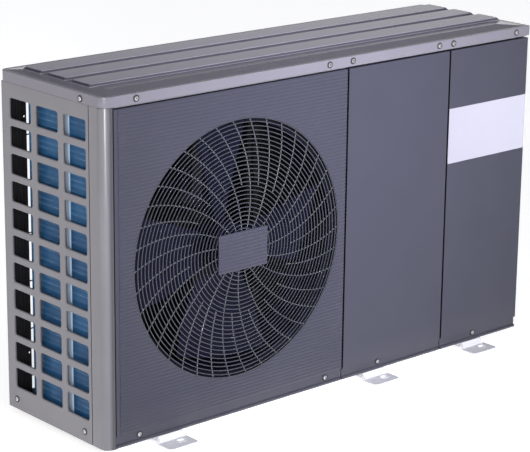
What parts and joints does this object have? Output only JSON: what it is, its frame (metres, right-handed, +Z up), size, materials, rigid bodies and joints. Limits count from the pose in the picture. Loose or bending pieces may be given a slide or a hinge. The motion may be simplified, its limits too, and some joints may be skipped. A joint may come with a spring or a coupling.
{
  "type": "heat pump unit",
  "caption": "Outdoor air-to-water heat pump with a round fan grille, lift-off doors, ribbed cover, finned coil and foot channels.",
  "frame": {"origin": "middle of the footprint, on the ground", "axes": "+Z up, +X to the right seen from the front, the front faces -Y"},
  "size_m": [1.3016, 0.429, 0.7955],
  "materials": {
    "casing_grey": "satin warm grey powder coat",
    "panel_slate": "satin dark slate coat",
    "insert_white": "satin light grey",
    "grille_black": "glossy dark grey",
    "foot_galvanised": "white galvanised",
    "base_steel": "grey coated steel",
    "plate_light": "pale coated sheet",
    "inner_steel": "galvanised sheet",
    "guard_wire": "dark coated wire",
    "post_black": "black moulded",
    "coil_blue": "blue coated aluminium fins",
    "copper": "drawn copper",
    "fan_plastic": "dark navy moulded",
    "shroud_plastic": "black moulded",
    "motor_shell": "black coat",
    "shaft_steel": "turned steel",
    "compressor_black": "black paint",
    "rubber_mount": "moulded rubber",
    "screw_zinc": "zinc plated",
    "valve_brass": "forged brass",
    "exchanger_steel": "stainless sheet",
    "pump_cast": "painted casting",
    "pump_plastic": "moulded cap",
    "vessel_red": "red paint",
    "knob_red": "red moulded",
    "gauge_case": "black case",
    "gauge_needle": "red needle",
    "board_green": "green circuit board",
    "aluminium_fin": "extruded",
    "terminal_grey": "moulded",
    "gland_black": "black nylon"
  },
  "bodies": {
    "cabinet": {"base_pan": "base_steel", "foot_left": "foot_galvanised", "foot_middle": "foot_galvanised", "foot_right": "foot_galvanised", "corner_post": "casing_grey", "top_rail": "casing_grey", "fan_panel": "panel_slate", "grille_rings": "grille_black", "grille_spokes": "grille_black", "grille_plate": "panel_slate", "cabinet_screws": "screw_zinc", "top_cover": "casing_grey", "left_side_panel": "casing_grey", "right_side_panel": "casing_grey", "right_grip": "post_black", "rear_service_panel": "casing_grey", "cable_glands": "gland_black", "rear_guard": "guard_wire", "rear_left_post": "post_black", "bulkhead": "inner_steel", "coil_fins": "coil_blue", "coil_return_bends": "copper", "coil_end_plates": "plate_light", "fan_shroud": "shroud_plastic", "fan_motor": "motor_shell", "motor_bracket": "inner_steel", "compressor": "compressor_black", "compressor_mounts": "rubber_mount", "compressor_bolts": "screw_zinc", "accumulator": "compressor_black", "four_way_valve": "valve_brass", "expansion_valve": "valve_brass", "plate_exchanger": "exchanger_steel", "refrigerant_pipes": "copper", "pump_body": "pump_cast", "pump_motor": "pump_plastic", "water_pipes": "copper", "water_connectors": "valve_brass", "air_vent": "valve_brass", "flow_switch": "terminal_grey", "safety_valve": "valve_brass", "pressure_gauge": "gauge_case", "expansion_vessel": "vessel_red", "electric_box": "inner_steel", "heat_sink": "aluminium_fin", "power_board": "board_green", "control_board": "board_green", "terminal_block": "terminal_grey", "drain_spigot": "gland_black"},
    "fan_rotor": {"fan": "fan_plastic", "fan_shaft": "shaft_steel", "fan_nut": "shaft_steel"},
    "middle_door_body": {"middle_door": "panel_slate", "middle_door_screw": "screw_zinc"},
    "right_door_body": {"right_door": "panel_slate", "door_insert": "insert_white", "right_door_screw": "screw_zinc"},
    "relief_knob": {"safety_valve_knob": "knob_red"},
    "needle": {"gauge_needle": "gauge_needle"},
    "impeller": {"pump_impeller": "fan_plastic"}
  },
  "joints": [
    {"name": "fan_spin", "type": "hinge", "parent": "cabinet", "child": "fan_rotor", "pos_m": [-0.274, -0.0965, 0.3975], "axis": [0, -1, 0], "continuous": true},
    {"name": "middle_door_lift_off", "type": "slide", "parent": "cabinet", "child": "middle_door_body", "axis": [0, -1, 0], "range_m": [0, 0.3]},
    {"name": "right_door_lift_off", "type": "slide", "parent": "cabinet", "child": "right_door_body", "axis": [0, -1, 0], "range_m": [0, 0.3]},
    {"name": "relief_knob_turn", "type": "hinge", "parent": "cabinet", "child": "relief_knob", "pos_m": [0.541, -0.0335, 0.3555], "axis": [0, -1, 0], "range_deg": [0, 90]},
    {"name": "gauge_needle_turn", "type": "hinge", "parent": "cabinet", "child": "needle", "pos_m": [0.498, -0.0095, 0.3555], "axis": [0, 1, 0], "range_deg": [0, 270]},
    {"name": "impeller_spin", "type": "hinge", "parent": "cabinet", "child": "impeller", "pos_m": [0.486, 0.0305, 0.1955], "axis": [0, -1, 0], "continuous": true}
  ]
}
